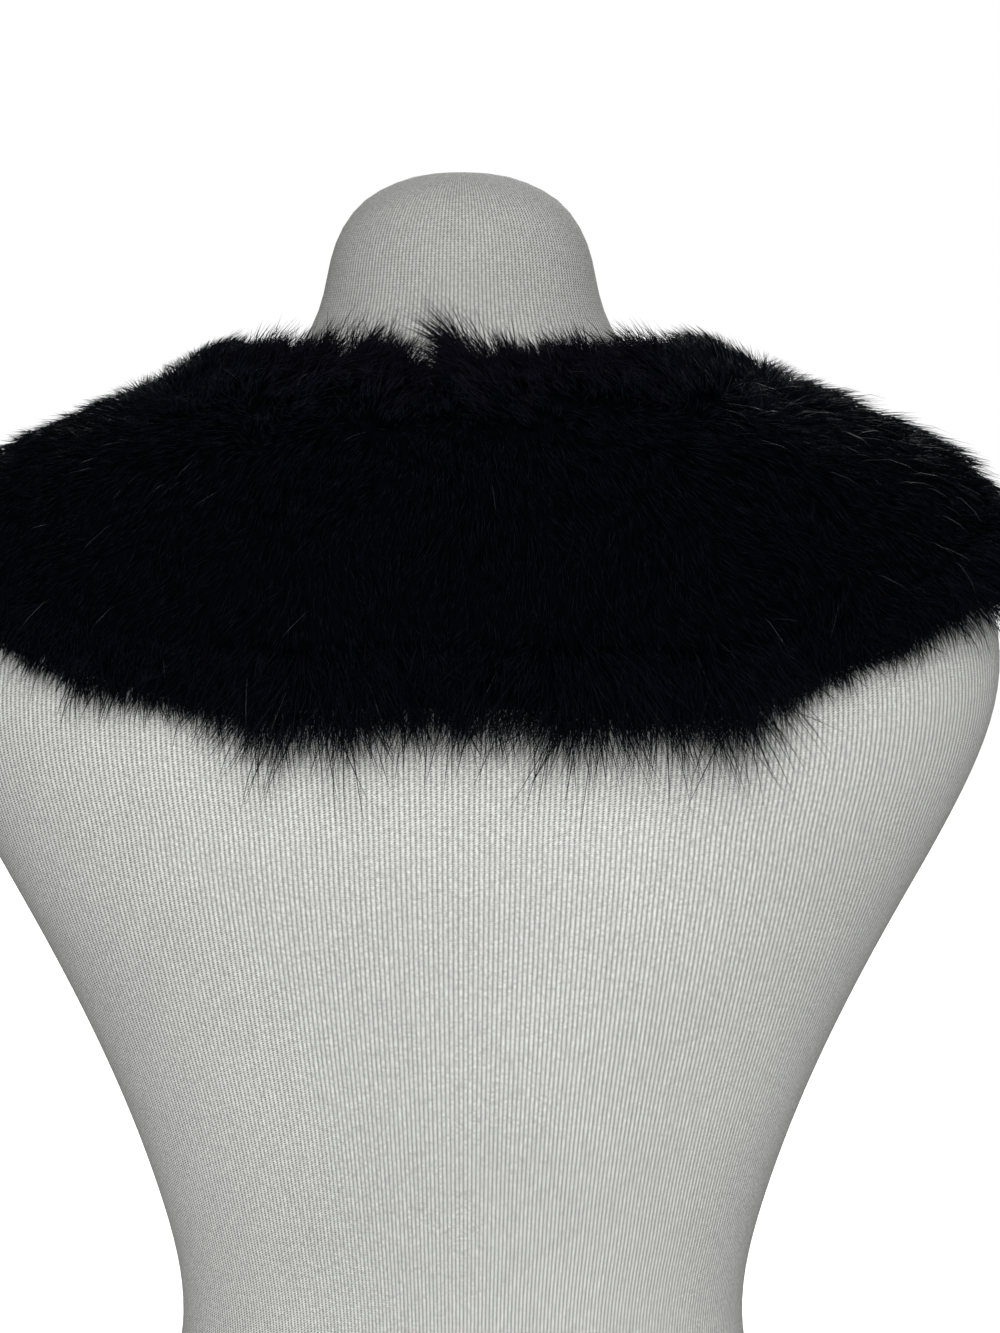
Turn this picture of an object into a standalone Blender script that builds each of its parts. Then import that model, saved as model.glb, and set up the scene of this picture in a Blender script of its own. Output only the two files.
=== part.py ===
"""A fur collar wrap on a limbless dress form.

The wrap is a crescent-cut strip of dyed fur, six pelts sewn end to end. It lies round
the shoulders of a countertop torso, close to the neck and over the shoulder caps, and
its two plain rounded ends hang side by side on the chest. Each pelt is a thin hide wall
with a plain solid on it that stands for the reach of its fur.

Metres, +Z up. The form stands on z = 0 and its chest faces -Y, so its left is +X.
"""

import collections
import math

import bmesh
import bpy
import numpy as np

# ---------------------------------------------------------------------------- sizes

CENTRING_SHIFT = 0.0105  # moves the whole object along Y until its box is centred on the origin

FORM_SEGMENTS = 64  # round the torso
RINGS_PER_SECTION = 3  # lofted rings for each row of the table

HIDE_CLEARANCE = 0.0018  # between the jersey and the leather side of the hide
HIDE_THICKNESS = 0.0015
SEAM_GAP = 0.0003  # between pelts, and between a hide and the fur on it
PILE_EDGE = 0.0020  # thickness that the fur solid keeps at its rounded rims

PILE_ROUNDING = 0.028  # how far in from its rims the fur solid reaches its full depth
PILE_RIM_LEAST = 0.006
RIM_STEPS = (1, 0.75, 0.35)  # rows of the fur solid past the hide, as shares of its reach

HIDE_ROWS_ACROSS = 10
ROW_LENGTH = 0.015  # spacing of the rows along the strip

# The torso, from its flat base to the crown of the domed neck. `centre` is where the
# section is widest, and `to_back` and `to_front` are measured from there.
Section = collections.namedtuple(
    "Section", "height half_width centre to_back to_front squareness"
)
TORSO = [
    Section(0.0000, 0.1560, 0.004, 0.100, 0.094, 2.30),  # base
    Section(0.0400, 0.1660, 0.004, 0.110, 0.099, 2.30),
    Section(0.1050, 0.1670, 0.004, 0.112, 0.099, 2.30),  # hips
    Section(0.1680, 0.1450, 0.002, 0.098, 0.091, 2.25),
    Section(0.2280, 0.1255, 0.000, 0.084, 0.085, 2.20),  # waist
    Section(0.2950, 0.1355, 0.000, 0.086, 0.094, 2.20),
    Section(0.3600, 0.1595, 0.000, 0.095, 0.109, 2.25),
    Section(0.4200, 0.1885, 0.000, 0.103, 0.122, 2.30),
    Section(0.4750, 0.2170, 0.000, 0.107, 0.124, 2.30),  # chest
    Section(0.5250, 0.2310, 0.000, 0.104, 0.110, 2.30),  # shoulder caps
    Section(0.5620, 0.2240, -0.001, 0.096, 0.093, 2.20),
    Section(0.5950, 0.1990, -0.002, 0.086, 0.075, 2.05),
    Section(0.6200, 0.1470, -0.003, 0.075, 0.062, 2.00),
    Section(0.6400, 0.0990, -0.004, 0.066, 0.054, 2.00),
    Section(0.6580, 0.0725, -0.005, 0.059, 0.050, 2.00),  # foot of the neck
    Section(0.6810, 0.0598, -0.006, 0.052, 0.049, 2.00),
    Section(0.7020, 0.0550, -0.008, 0.049, 0.048, 2.00),
    Section(0.7150, 0.0488, -0.009, 0.044, 0.043, 2.00),
    Section(0.7232, 0.0415, -0.010, 0.038, 0.037, 2.00),
    Section(0.7295, 0.0308, -0.010, 0.028, 0.028, 2.00),
    Section(0.7335, 0.0185, -0.010, 0.017, 0.017, 2.00),
    Section(0.7348, 0.0070, -0.010, 0.0065, 0.0065, 2.00),  # crown
]
CROWN_HEIGHT = 0.7350

# The left half of the strip, from the centre back to its end. The neck edge and the hem
# are placed on the torso by the angle round it (0 is the centre back, 90 the left side,
# 180 the centre front) and by height.
Station = collections.namedtuple(
    "Station", "along neck_angle neck_height hem_angle hem_height"
)
STRIP = [
    Station(0.00, 0.0, 0.643, 0.0, 0.522),  # centre back
    Station(0.18, 38.0, 0.643, 30.0, 0.526),
    Station(0.34, 70.0, 0.642, 58.0, 0.556),
    Station(0.48, 98.0, 0.641, 89.0, 0.573),  # top of the shoulder
    Station(0.61, 124.0, 0.629, 111.0, 0.543),
    Station(0.72, 148.0, 0.596, 124.0, 0.488),
    Station(0.82, 167.0, 0.541, 134.0, 0.432),
    Station(0.91, 174.3, 0.470, 139.5, 0.385),
    Station(1.00, 175.2, 0.398, 143.5, 0.343),  # end
    Station(1.08, 175.2, 0.350, 146.0, 0.312),
]
END_ROUNDING = 0.045  # radius of the rounded corners of the hide at its ends
END_REACH = 0.014  # how far the fur passes the end of the hide

# The pelts, right to left as worn, from `start` to `end` along the strip.
Pelt = collections.namedtuple("Pelt", "name start end")
PELTS = [
    Pelt("front_right", -1.00, -0.62),
    Pelt("shoulder_right", -0.62, -0.29),
    Pelt("back_right", -0.29, 0.00),
    Pelt("back_left", 0.00, 0.29),
    Pelt("shoulder_left", 0.29, 0.62),
    Pelt("front_left", 0.62, 1.00),
]

# How far the fur reaches past the neck edge and the hem of the hide, and how high it
# stands above it. It is fullest in the middle of a pelt and dips at the seams.
Fur = collections.namedtuple("Fur", "along past_neck past_hem depth")
FUR = [
    Fur(-1.00, 0.012, 0.014, 0.017),
    Fur(-0.81, 0.014, 0.017, 0.020),
    Fur(-0.62, 0.012, 0.013, 0.018),  # seam
    Fur(-0.45, 0.014, 0.014, 0.021),
    Fur(-0.29, 0.011, 0.010, 0.018),  # seam
    Fur(-0.13, 0.013, 0.021, 0.020),
    Fur(0.00, 0.014, 0.013, 0.018),  # centre-back seam
    Fur(0.12, 0.012, 0.016, 0.019),
    Fur(0.20, 0.012, 0.009, 0.018),
    Fur(0.29, 0.011, 0.010, 0.017),  # seam
    Fur(0.45, 0.014, 0.014, 0.016),
    Fur(0.62, 0.012, 0.013, 0.017),  # seam
    Fur(0.81, 0.014, 0.017, 0.020),
    Fur(1.00, 0.012, 0.014, 0.017),
]

# --------------------------------------------------------------------------- tools


def spline(knots, rows, places):
    """Values at `places` on the natural cubic through `rows`, one column each."""
    knots, rows = np.asarray(knots, float), np.asarray(rows, float)
    gap = np.diff(knots)
    count = len(knots)
    system = np.eye(count)
    slopes = np.zeros_like(rows)
    for i in range(1, count - 1):
        system[i, i - 1 : i + 2] = gap[i - 1], 2 * (gap[i - 1] + gap[i]), gap[i]
        rise = (rows[i + 1] - rows[i]) / gap[i] - (rows[i] - rows[i - 1]) / gap[i - 1]
        slopes[i] = 6 * rise
    bend = np.linalg.solve(system, slopes)
    places = np.asarray(places, float)
    i = np.clip(np.searchsorted(knots, places) - 1, 0, count - 2)
    step = gap[i][..., None]
    after = (places[..., None] - knots[i][..., None]) / step
    before = 1 - after
    curve = (before**3 - before) * bend[i] + (after**3 - after) * bend[i + 1]
    return before * rows[i] + after * rows[i + 1] + curve * step**2 / 6


TORSO_ROWS = np.array(TORSO)
# A torso level is the length run along its side outline, so that the rings stay evenly
# spaced over the flat of the shoulders.
TORSO_LEVELS = np.concatenate(
    [[0], np.cumsum(np.hypot(np.diff(TORSO_ROWS[:, 0]), np.diff(TORSO_ROWS[:, 1])))]
)
FINE_LEVELS = np.linspace(0, TORSO_LEVELS[-1], 600)
FINE_HEIGHTS = spline(TORSO_LEVELS, TORSO_ROWS, FINE_LEVELS)[:, 0]


def level_at(height):
    return np.interp(height, FINE_HEIGHTS, FINE_LEVELS)


def on_torso(angle, level):
    """Points of the torso at angles (degrees) and levels."""
    height, half_width, centre, to_back, to_front, squareness = np.moveaxis(
        spline(TORSO_LEVELS, TORSO_ROWS, level), -1, 0
    )
    across, along = np.sin(np.radians(angle)), np.cos(np.radians(angle))
    corner = (np.abs(across) ** squareness + np.abs(along) ** squareness) ** (-1 / squareness)
    depth = np.where(along > 0, to_back, to_front)
    return np.stack(
        [
            half_width * corner * across,
            centre + depth * corner * along + CENTRING_SHIFT,
            height,
        ],
        -1,
    )


def off_torso(angle, level, lift):
    """Points at `lift` metres straight out from the torso."""
    turn, rise = 0.5, 0.002
    round_it = on_torso(angle + turn, level) - on_torso(angle - turn, level)
    up_it = on_torso(angle, level + rise) - on_torso(angle, level - rise)
    outward = np.cross(up_it, round_it)
    outward /= np.linalg.norm(outward, axis=-1, keepdims=True)
    return on_torso(angle, level) + outward * np.asarray(lift)[..., None]


def strip_stations():
    """The whole strip's stations: the left half and its mirror image."""
    left = np.array(STRIP)
    right = left[:0:-1] * [-1, -1, 1, -1, 1]
    return np.concatenate([right, left])


STATIONS = strip_stations()


def hang(along, share):
    """How far the hide stands off the torso beyond its clearance.

    It bridges the hollow at the foot of the neck, hangs free below the shoulder caps
    and the shoulder blades, and ripples a little along its hem.
    """
    side = np.exp(-(((np.abs(along) - 0.5) / 0.16) ** 2))
    neck = 0.0030 * np.clip(1 - share / 0.35, 0, 1.3) ** 2
    free = (0.0020 + 0.0040 * side) * np.clip((share - 0.55) / 0.45, 0, 1.2) ** 2
    ripple = 0.0012 * np.sin(23 * along + 0.8) * np.clip(share, 0, 1) ** 2
    return neck + free + ripple * (np.abs(along) < 0.9)


def strip_line(along, inset, shares, past, lift):
    """Points across the strip at one place along it.

    `shares` places them between the two edges of the hide, which are drawn in by
    `inset`, and `past` moves each one on towards the hem, in metres. `lift` is the
    height of each point above the hide's leather side.
    """
    station = spline(STATIONS[:, 0], STATIONS[:, 1:], np.array(along))
    neck_angle, neck_height, hem_angle, hem_height = station
    neck_level, hem_level = level_at(neck_height), level_at(hem_height)
    share = np.linspace(-0.5, 1.5, 201)
    angle = neck_angle + share * (hem_angle - neck_angle)
    level = neck_level + share * (hem_level - neck_level)
    line = on_torso(angle, level)
    run = np.concatenate([[0], np.cumsum(np.linalg.norm(np.diff(line, axis=0), axis=1))])
    neck_run, hem_run = np.interp([0, 1], share, run)
    width = hem_run - neck_run - 2 * inset
    at = np.interp(neck_run + inset + shares * width + past, run, share)
    angle = neck_angle + at * (hem_angle - neck_angle)
    level = neck_level + at * (hem_level - neck_level)
    return off_torso(angle, level, HIDE_CLEARANCE + hang(along, at) + lift), width


def end_inset(along, end, radius):
    """How far the edges draw in towards the rounded end at `end`."""
    length = radius / STRIP_HALF_LENGTH
    into = np.clip((abs(along) - (end - length)) / length, 0, 1)
    return radius * (1 - math.sqrt(1 - into**2))


def middle_length():
    """Length of the left half of the strip along its middle."""
    places = np.linspace(0, 1, 80)
    centre = np.array([0.5])
    middle = np.array([strip_line(a, 0, centre, 0, 0)[0][0] for a in places])
    return float(np.linalg.norm(np.diff(middle, axis=0), axis=1).sum())


STRIP_HALF_LENGTH = middle_length()


def rounded(into, width):
    """A share of full height that rises in a round from a rim, over `width`."""
    return (1 - (1 - np.clip(into / width, 0, 1)) ** 2.4) ** 0.5


def rows_along(pelt):
    """Places of a pelt's rows, with half a seam gap left at each seam."""
    half_gap = SEAM_GAP / 2 / STRIP_HALF_LENGTH
    start = pelt.start + (half_gap if pelt.start > -1 else 0)
    end = pelt.end - (half_gap if pelt.end < 1 else 0)
    count = max(2, round((end - start) * STRIP_HALF_LENGTH / ROW_LENGTH))
    return np.linspace(start, end, count + 1)


def new_material(name, colour, roughness):
    material = bpy.data.materials.new(name)
    material.use_nodes = True
    shader = material.node_tree.nodes["Principled BSDF"]
    shader.inputs["Base Color"].default_value = (*colour, 1)
    shader.inputs["Roughness"].default_value = roughness
    shader.inputs["Metallic"].default_value = 0
    material.diffuse_color = (*colour, 1)
    return material


def add_object(name, mesh, material, collection):
    mesh.materials.append(material)
    mesh.shade_smooth()
    mesh.set_sharp_from_angle(angle=math.radians(50))
    made = bpy.data.objects.new(name, mesh)
    collection.objects.link(made)
    return made


def closed_wall(name, under, over, material, collection):
    """A closed solid between two grids of points, `under` and `over`.

    Every four points are split the same way, so that walls made on the same points
    stay parallel, and so do the faces of two walls at a seam.
    """
    mesh = bpy.data.meshes.new(name)
    shell = bmesh.new()
    low, high = ([[shell.verts.new(p) for p in row] for row in grid] for grid in (under, over))

    def two_triangles(a, b, c, d):
        shell.faces.new([a, b, c])
        shell.faces.new([a, c, d])

    for i in range(len(low) - 1):
        for grid in (low, high):
            for j in range(len(low[0]) - 1):
                two_triangles(grid[i][j], grid[i + 1][j], grid[i + 1][j + 1], grid[i][j + 1])
        for j in (0, -1):
            two_triangles(low[i][j], low[i + 1][j], high[i + 1][j], high[i][j])
    for i in (0, -1):
        for j in range(len(low[0]) - 1):
            two_triangles(low[i][j], low[i][j + 1], high[i][j + 1], high[i][j])
    bmesh.ops.recalc_face_normals(shell, faces=shell.faces)
    shell.to_mesh(mesh)
    shell.free()
    return add_object(name, mesh, material, collection)


# -------------------------------------------------------------------------- pieces


def build_torso(collection):
    """The countertop torso: one closed loft, flat at its base and domed at the neck."""
    inner = np.arange(len(TORSO) - 1)[:, None] + np.arange(RINGS_PER_SECTION) / RINGS_PER_SECTION
    places = np.append(inner.ravel(), len(TORSO) - 1)
    levels = np.interp(places, np.arange(len(TORSO)), TORSO_LEVELS)
    angles = np.arange(FORM_SEGMENTS) * 360 / FORM_SEGMENTS
    rings = on_torso(*np.broadcast_arrays(angles[None, :], levels[:, None]))
    crown = [0, TORSO[-1].centre + CENTRING_SHIFT, CROWN_HEIGHT]

    mesh = bpy.data.meshes.new("form_torso")
    loft = bmesh.new()
    loops = [[loft.verts.new(p) for p in ring] for ring in rings]
    top = loft.verts.new(crown)
    loft.faces.new(loops[0])
    for i in range(FORM_SEGMENTS):
        following = (i + 1) % FORM_SEGMENTS
        for lower, upper in zip(loops, loops[1:]):
            loft.faces.new([lower[i], lower[following], upper[following], upper[i]])
        loft.faces.new([loops[-1][i], loops[-1][following], top])
    bmesh.ops.recalc_face_normals(loft, faces=loft.faces)
    loft.to_mesh(mesh)
    loft.free()
    jersey = new_material("jersey_off_white", (0.60, 0.61, 0.58), 0.85)
    return add_object("form_torso", mesh, jersey, collection)


HIDE_SHARES = np.linspace(0, 1, HIDE_ROWS_ACROSS + 1)
FUR_ROWS = np.array(FUR)


def build_hide(pelt, material, collection):
    """A pelt's skin: a wall of even thickness, just off the jersey."""
    under, over = [], []
    for along in rows_along(pelt):
        inset = end_inset(along, 1, END_ROUNDING)
        for grid, lift in ((under, 0), (over, HIDE_THICKNESS)):
            grid.append(strip_line(along, inset, HIDE_SHARES, 0, lift)[0])
    name = "hide_" + pelt.name
    return closed_wall(name, np.array(under), np.array(over), material, collection)


def build_pile(pelt, material, collection):
    """The reach of a pelt's fur, on the hide's own points and rounded past its edges."""
    end = 1 + END_REACH / STRIP_HALF_LENGTH
    rows = rows_along(pelt)
    passing = 1 + np.array(RIM_STEPS[::-1]) * (end - 1)
    if pelt.start == -1:
        rows = np.concatenate([-passing[::-1], rows])
    if pelt.end == 1:
        rows = np.concatenate([rows, passing])
    steps = np.array(RIM_STEPS)
    shares = np.concatenate([0 * steps, HIDE_SHARES, 1 + 0 * steps])
    floor = HIDE_THICKNESS + SEAM_GAP
    under, over = [], []
    for along in rows:
        fur = spline(FUR_ROWS[:, 0], FUR_ROWS[:, 1:], np.clip(along, -1, 1))
        neck, hem, depth = fur
        inset = end_inset(along, 1, END_ROUNDING)
        drawn_in = inset - end_inset(along, end, END_ROUNDING + END_REACH)
        neck, hem = (max(PILE_RIM_LEAST, reach + drawn_in) for reach in (neck, hem))
        past = np.concatenate([-neck * steps, 0 * HIDE_SHARES, hem * steps[::-1]])
        points, width = strip_line(along, inset, shares, past, floor)
        from_neck = neck + shares * width + past
        from_rim = np.minimum(from_neck, neck + width + hem - from_neck)
        from_end = (end - abs(along)) * STRIP_HALF_LENGTH
        rise = rounded(from_rim, PILE_ROUNDING) * rounded(from_end, PILE_ROUNDING)
        lift = floor + PILE_EDGE + (depth - PILE_EDGE) * rise
        under.append(points)
        over.append(strip_line(along, inset, shares, past, lift)[0])
    name = "pile_" + pelt.name
    return closed_wall(name, np.array(under), np.array(over), material, collection)


def build():
    for leftover in list(bpy.data.objects):
        bpy.data.objects.remove(leftover, do_unlink=True)
    collection = bpy.data.collections.new("fur_collar_wrap")
    bpy.context.scene.collection.children.link(collection)
    build_torso(collection)
    skin = new_material("hide_leather_side", (0.045, 0.038, 0.034), 0.75)
    fur = new_material("fur_black", (0.004, 0.004, 0.005), 0.55)
    for pelt in PELTS:
        build_hide(pelt, skin, collection)
        build_pile(pelt, fur, collection)


build()
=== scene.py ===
"""A fur collar wrap on a limbless dress form.

Six dyed pelts, sewn end to end into a crescent strip, lie round the shoulders of a
countertop torso in ribbed jersey. The torso stands on z = 0 and its chest faces -Y.
"""

import math

import bpy
import numpy as np
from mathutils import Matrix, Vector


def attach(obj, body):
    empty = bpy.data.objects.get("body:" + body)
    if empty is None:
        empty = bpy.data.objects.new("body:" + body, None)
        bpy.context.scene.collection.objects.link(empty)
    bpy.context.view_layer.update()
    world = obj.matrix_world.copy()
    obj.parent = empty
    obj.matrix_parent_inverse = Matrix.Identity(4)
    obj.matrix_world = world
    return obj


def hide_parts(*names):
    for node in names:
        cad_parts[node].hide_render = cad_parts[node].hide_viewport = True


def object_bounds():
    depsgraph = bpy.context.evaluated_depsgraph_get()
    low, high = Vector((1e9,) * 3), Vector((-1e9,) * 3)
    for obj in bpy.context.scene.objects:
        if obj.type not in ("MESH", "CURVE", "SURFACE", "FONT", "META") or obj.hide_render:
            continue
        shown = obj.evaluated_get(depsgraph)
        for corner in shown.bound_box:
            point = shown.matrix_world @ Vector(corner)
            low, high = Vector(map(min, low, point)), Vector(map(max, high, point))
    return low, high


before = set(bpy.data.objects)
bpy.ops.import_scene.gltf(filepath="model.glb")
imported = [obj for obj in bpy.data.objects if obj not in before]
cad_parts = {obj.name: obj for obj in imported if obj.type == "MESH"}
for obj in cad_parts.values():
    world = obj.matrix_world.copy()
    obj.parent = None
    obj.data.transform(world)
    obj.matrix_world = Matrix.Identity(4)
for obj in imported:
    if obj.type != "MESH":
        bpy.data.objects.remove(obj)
cad_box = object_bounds()

# --------------------------------------------------------------------- the dress form
# A countertop torso of moulded foam under one tube of off-white jersey in a 1 x 1 rib.
# The jersey is pulled on from below and stretched, so its ribs run up the body, spread
# over the shoulders and close in again where they are drawn together on the crown.

FORM_SEGMENTS = 112
FORM_RINGS = 120
FRONT_SHIFT = 0.0105  # along Y, so that the whole object's box is centred on the origin
BODY_WALES = 480  # ribs round the body
NECK_WALES = 210  # ribs round the neck, where the knit is finer
COURSE = 0.00105  # height of one row of stitches
RIB_SWAY = 0.7  # to each side with every stitch, in radians, where a rib's pitch is a full turn
RIDGE_COLOUR = (0.93, 0.93, 0.89, 1)
# the grooves' near black is painted shade; the yarn there is off-white like the ridges
GROOVE_SHADE_COLOUR = (0.09, 0.09, 0.088, 1)

# height, half width, centre, reach to the back and to the front, squareness
FORM_SECTIONS = np.array([
    [0.0000, 0.1560, 0.004, 0.100, 0.094, 2.30],  # base
    [0.0400, 0.1660, 0.004, 0.110, 0.099, 2.30],
    [0.1050, 0.1670, 0.004, 0.112, 0.099, 2.30],  # hips
    [0.1680, 0.1450, 0.002, 0.098, 0.091, 2.25],
    [0.2280, 0.1255, 0.000, 0.084, 0.085, 2.20],  # waist
    [0.2950, 0.1355, 0.000, 0.086, 0.094, 2.20],
    [0.3600, 0.1595, 0.000, 0.095, 0.109, 2.25],
    [0.4200, 0.1885, 0.000, 0.103, 0.122, 2.30],
    [0.4750, 0.2170, 0.000, 0.107, 0.124, 2.30],  # chest
    [0.5250, 0.2310, 0.000, 0.104, 0.110, 2.30],  # shoulder caps
    [0.5620, 0.2240, -0.001, 0.096, 0.093, 2.20],
    [0.5950, 0.1990, -0.002, 0.086, 0.075, 2.05],
    [0.6200, 0.1470, -0.003, 0.075, 0.062, 2.00],
    [0.6400, 0.0990, -0.004, 0.066, 0.054, 2.00],
    [0.6580, 0.0725, -0.005, 0.059, 0.050, 2.00],  # foot of the neck
    [0.6810, 0.0598, -0.006, 0.052, 0.049, 2.00],
    [0.7020, 0.0550, -0.008, 0.049, 0.048, 2.00],
    [0.7150, 0.0488, -0.009, 0.044, 0.043, 2.00],
    [0.7232, 0.0415, -0.010, 0.038, 0.037, 2.00],
    [0.7295, 0.0308, -0.010, 0.028, 0.028, 2.00],
    [0.7335, 0.0185, -0.010, 0.017, 0.017, 2.00],
    [0.7348, 0.0070, -0.010, 0.0065, 0.0065, 2.00],  # crown
])
NECK_FOOT = 0.652


def spline(knots, rows, places):
    """Values at `places` on the natural cubic through `rows`, one column each."""
    gap = np.diff(knots)
    count = len(knots)
    system = np.eye(count)
    slopes = np.zeros_like(rows)
    for i in range(1, count - 1):
        system[i, i - 1 : i + 2] = gap[i - 1], 2 * (gap[i - 1] + gap[i]), gap[i]
        slopes[i] = 6 * ((rows[i + 1] - rows[i]) / gap[i] - (rows[i] - rows[i - 1]) / gap[i - 1])
    bend = np.linalg.solve(system, slopes)
    places = np.asarray(places, float)
    i = np.clip(np.searchsorted(knots, places) - 1, 0, count - 2)
    step = gap[i][..., None]
    after = (places[..., None] - knots[i][..., None]) / step
    before = 1 - after
    curve = (before**3 - before) * bend[i] + (after**3 - after) * bend[i + 1]
    return before * rows[i] + after * rows[i + 1] + curve * step**2 / 6


# A level is the length run up the side outline of the form.
side_steps = np.hypot(np.diff(FORM_SECTIONS[:, 0]), np.diff(FORM_SECTIONS[:, 1]))
FORM_LEVELS = np.concatenate([[0], np.cumsum(side_steps)])
fine_levels = np.linspace(0, FORM_LEVELS[-1], 600)
fine_heights = spline(FORM_LEVELS, FORM_SECTIONS, fine_levels)[:, 0]


def level_at(height):
    return np.interp(height, fine_heights, fine_levels)


def on_form(angle, level):
    """Points of the form: 0 degrees is the centre back, 90 the left side, 180 the front."""
    height, half_width, centre, back, front, square = np.moveaxis(
        spline(FORM_LEVELS, FORM_SECTIONS, level), -1, 0
    )
    across, along = np.sin(np.radians(angle)), np.cos(np.radians(angle))
    corner = (np.abs(across) ** square + np.abs(along) ** square) ** (-1 / square)
    depth = np.where(along > 0, back, front)
    y = centre + depth * corner * along + FRONT_SHIFT
    return np.stack([half_width * corner * across, y, height], -1)


def unit(vectors):
    return vectors / np.linalg.norm(vectors, axis=-1, keepdims=True)


def off_form(angle, level, lift):
    """Points at `lift` metres straight out from the form."""
    round_it = on_form(angle + 0.5, level) - on_form(angle - 0.5, level)
    up_it = on_form(angle, level + 0.002) - on_form(angle, level - 0.002)
    return on_form(angle, level) + unit(np.cross(up_it, round_it)) * np.asarray(lift)[..., None]


def unit_grid(name, columns, rows):
    """A flat grid from (0, 0) to (1, 1), with its own UV map, left in edit mode."""
    bpy.ops.object.select_all(action="DESELECT")
    bpy.ops.mesh.primitive_grid_add(
        x_subdivisions=columns, y_subdivisions=rows, size=1, location=(0.5, 0.5, 0)
    )
    grid = bpy.context.object
    grid.name = name
    bpy.ops.object.transform_apply(location=True)
    bpy.ops.object.mode_set(mode="EDIT")
    bpy.ops.mesh.select_all(action="SELECT")
    return grid


def vertices_of(piece):
    places = np.empty(len(piece.data.vertices) * 3)
    piece.data.vertices.foreach_get("co", places)
    return places.reshape(-1, 3)


def move_vertices(piece, places):
    piece.data.vertices.foreach_set("co", np.asarray(places, float).ravel())
    piece.data.update()


def principled(name, roughness, specular):
    """A new material with its shader and links, for the sections below to fill in."""
    material = bpy.data.materials.new(name)
    material.use_nodes = True
    shader = material.node_tree.nodes["Principled BSDF"]
    shader.inputs["Roughness"].default_value = roughness
    shader.inputs["Specular IOR Level"].default_value = specular
    return material, material.node_tree.nodes, material.node_tree.links, shader


def math_node(nodes, links, operation, *values):
    node = nodes.new("ShaderNodeMath")
    node.operation = operation
    for socket, value in zip(node.inputs, values):
        if isinstance(value, (int, float)):
            socket.default_value = value
        else:
            links.new(value, socket)
    return node.outputs[0]


def mix_colours(nodes, links, share, first, second, blend="MIX"):
    node = nodes.new("ShaderNodeMix")
    node.data_type = "RGBA"
    node.blend_type = blend
    for number, value in ((0, share), (6, first), (7, second)):
        socket = node.inputs[number]
        if isinstance(value, (int, float, tuple)):
            socket.default_value = value
        else:
            links.new(value, socket)
    return node.outputs[2]


form = unit_grid("form_jersey", FORM_SEGMENTS, FORM_RINGS)
bpy.ops.object.mode_set(mode="OBJECT")
plan = vertices_of(form)
form_angles = 180 - 360 * plan[:, 0]  # the jersey's own join is at the centre front
form_levels = plan[:, 1] * FORM_LEVELS[-1]
move_vertices(form, on_form(form_angles, form_levels))

# The ribs are counted round each section by length, so that they stay evenly spaced.
corners = len(form.data.loops)
flat_map = np.empty(corners * 2)
form.data.uv_layers[0].data.foreach_get("uv", flat_map)
flat_map = flat_map.reshape(-1, 2)
turn = np.linspace(-180, 180, 361)
ring_levels = np.linspace(0, FORM_LEVELS[-1], FORM_RINGS + 1)
ring_points = on_form(*np.broadcast_arrays(turn[None, :], ring_levels[:, None]))
ring_runs = np.linalg.norm(np.diff(ring_points, axis=1), axis=2).cumsum(1)
ring_runs = np.concatenate([np.zeros((len(ring_levels), 1)), ring_runs], 1) / ring_runs[:, -1:]
ring_of = np.rint(flat_map[:, 1] * FORM_RINGS).astype(int)
turn_of = 180 - 360 * flat_map[:, 0]
fraction = np.array([np.interp(t, turn, ring_runs[r]) for t, r in zip(turn_of, ring_of)])
corner_levels = flat_map[:, 1] * FORM_LEVELS[-1]
on_neck = corner_levels.reshape(-1, 4).mean(1).repeat(4) > level_at(NECK_FOOT)
wales = np.where(on_neck, NECK_WALES, BODY_WALES)
# The chest stretches the knit more than the back does, and the waist a little less.
crowding = np.interp(corner_levels, level_at(np.array([0.29, 0.38, 0.47])), [-0.06, 0.0, 0.09])
crowding = crowding * ~on_neck
fraction = fraction + crowding / (2 * math.pi) * np.sin(2 * math.pi * (fraction - 0.5))
form.data.uv_layers[0].name = "ribs"
form.data.uv_layers[0].data.foreach_set(
    "uv", np.stack([fraction * wales, corner_levels / COURSE], 1).ravel()
)

bpy.ops.object.mode_set(mode="EDIT")
bpy.ops.mesh.select_all(action="SELECT")
bpy.ops.mesh.remove_doubles(threshold=1e-6)
bpy.ops.mesh.select_all(action="DESELECT")
bpy.ops.mesh.select_mode(type="EDGE")
bpy.ops.mesh.select_non_manifold(extend=False, use_wire=False, use_multi_face=False,
                                 use_non_contiguous=False, use_verts=False)
bpy.ops.mesh.edge_face_add()
bpy.ops.mesh.select_all(action="SELECT")
bpy.ops.mesh.normals_make_consistent(inside=False)
bpy.ops.object.mode_set(mode="OBJECT")
bpy.ops.object.shade_smooth_by_angle(angle=math.radians(50))

jersey, nodes, links, shader = principled("jersey_rib", 0.88, 0.25)
shader.inputs["Sheen Weight"].default_value = 0.08
shader.inputs["Sheen Roughness"].default_value = 0.6
ribs = nodes.new("ShaderNodeUVMap")
ribs.uv_map = "ribs"
count = nodes.new("ShaderNodeSeparateXYZ")
links.new(ribs.outputs[0], count.inputs[0])
wale_phase = math_node(nodes, links, "MULTIPLY", count.outputs[0], 2 * math.pi)
course_phase = math_node(nodes, links, "MULTIPLY", count.outputs[1], 2 * math.pi)
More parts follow.
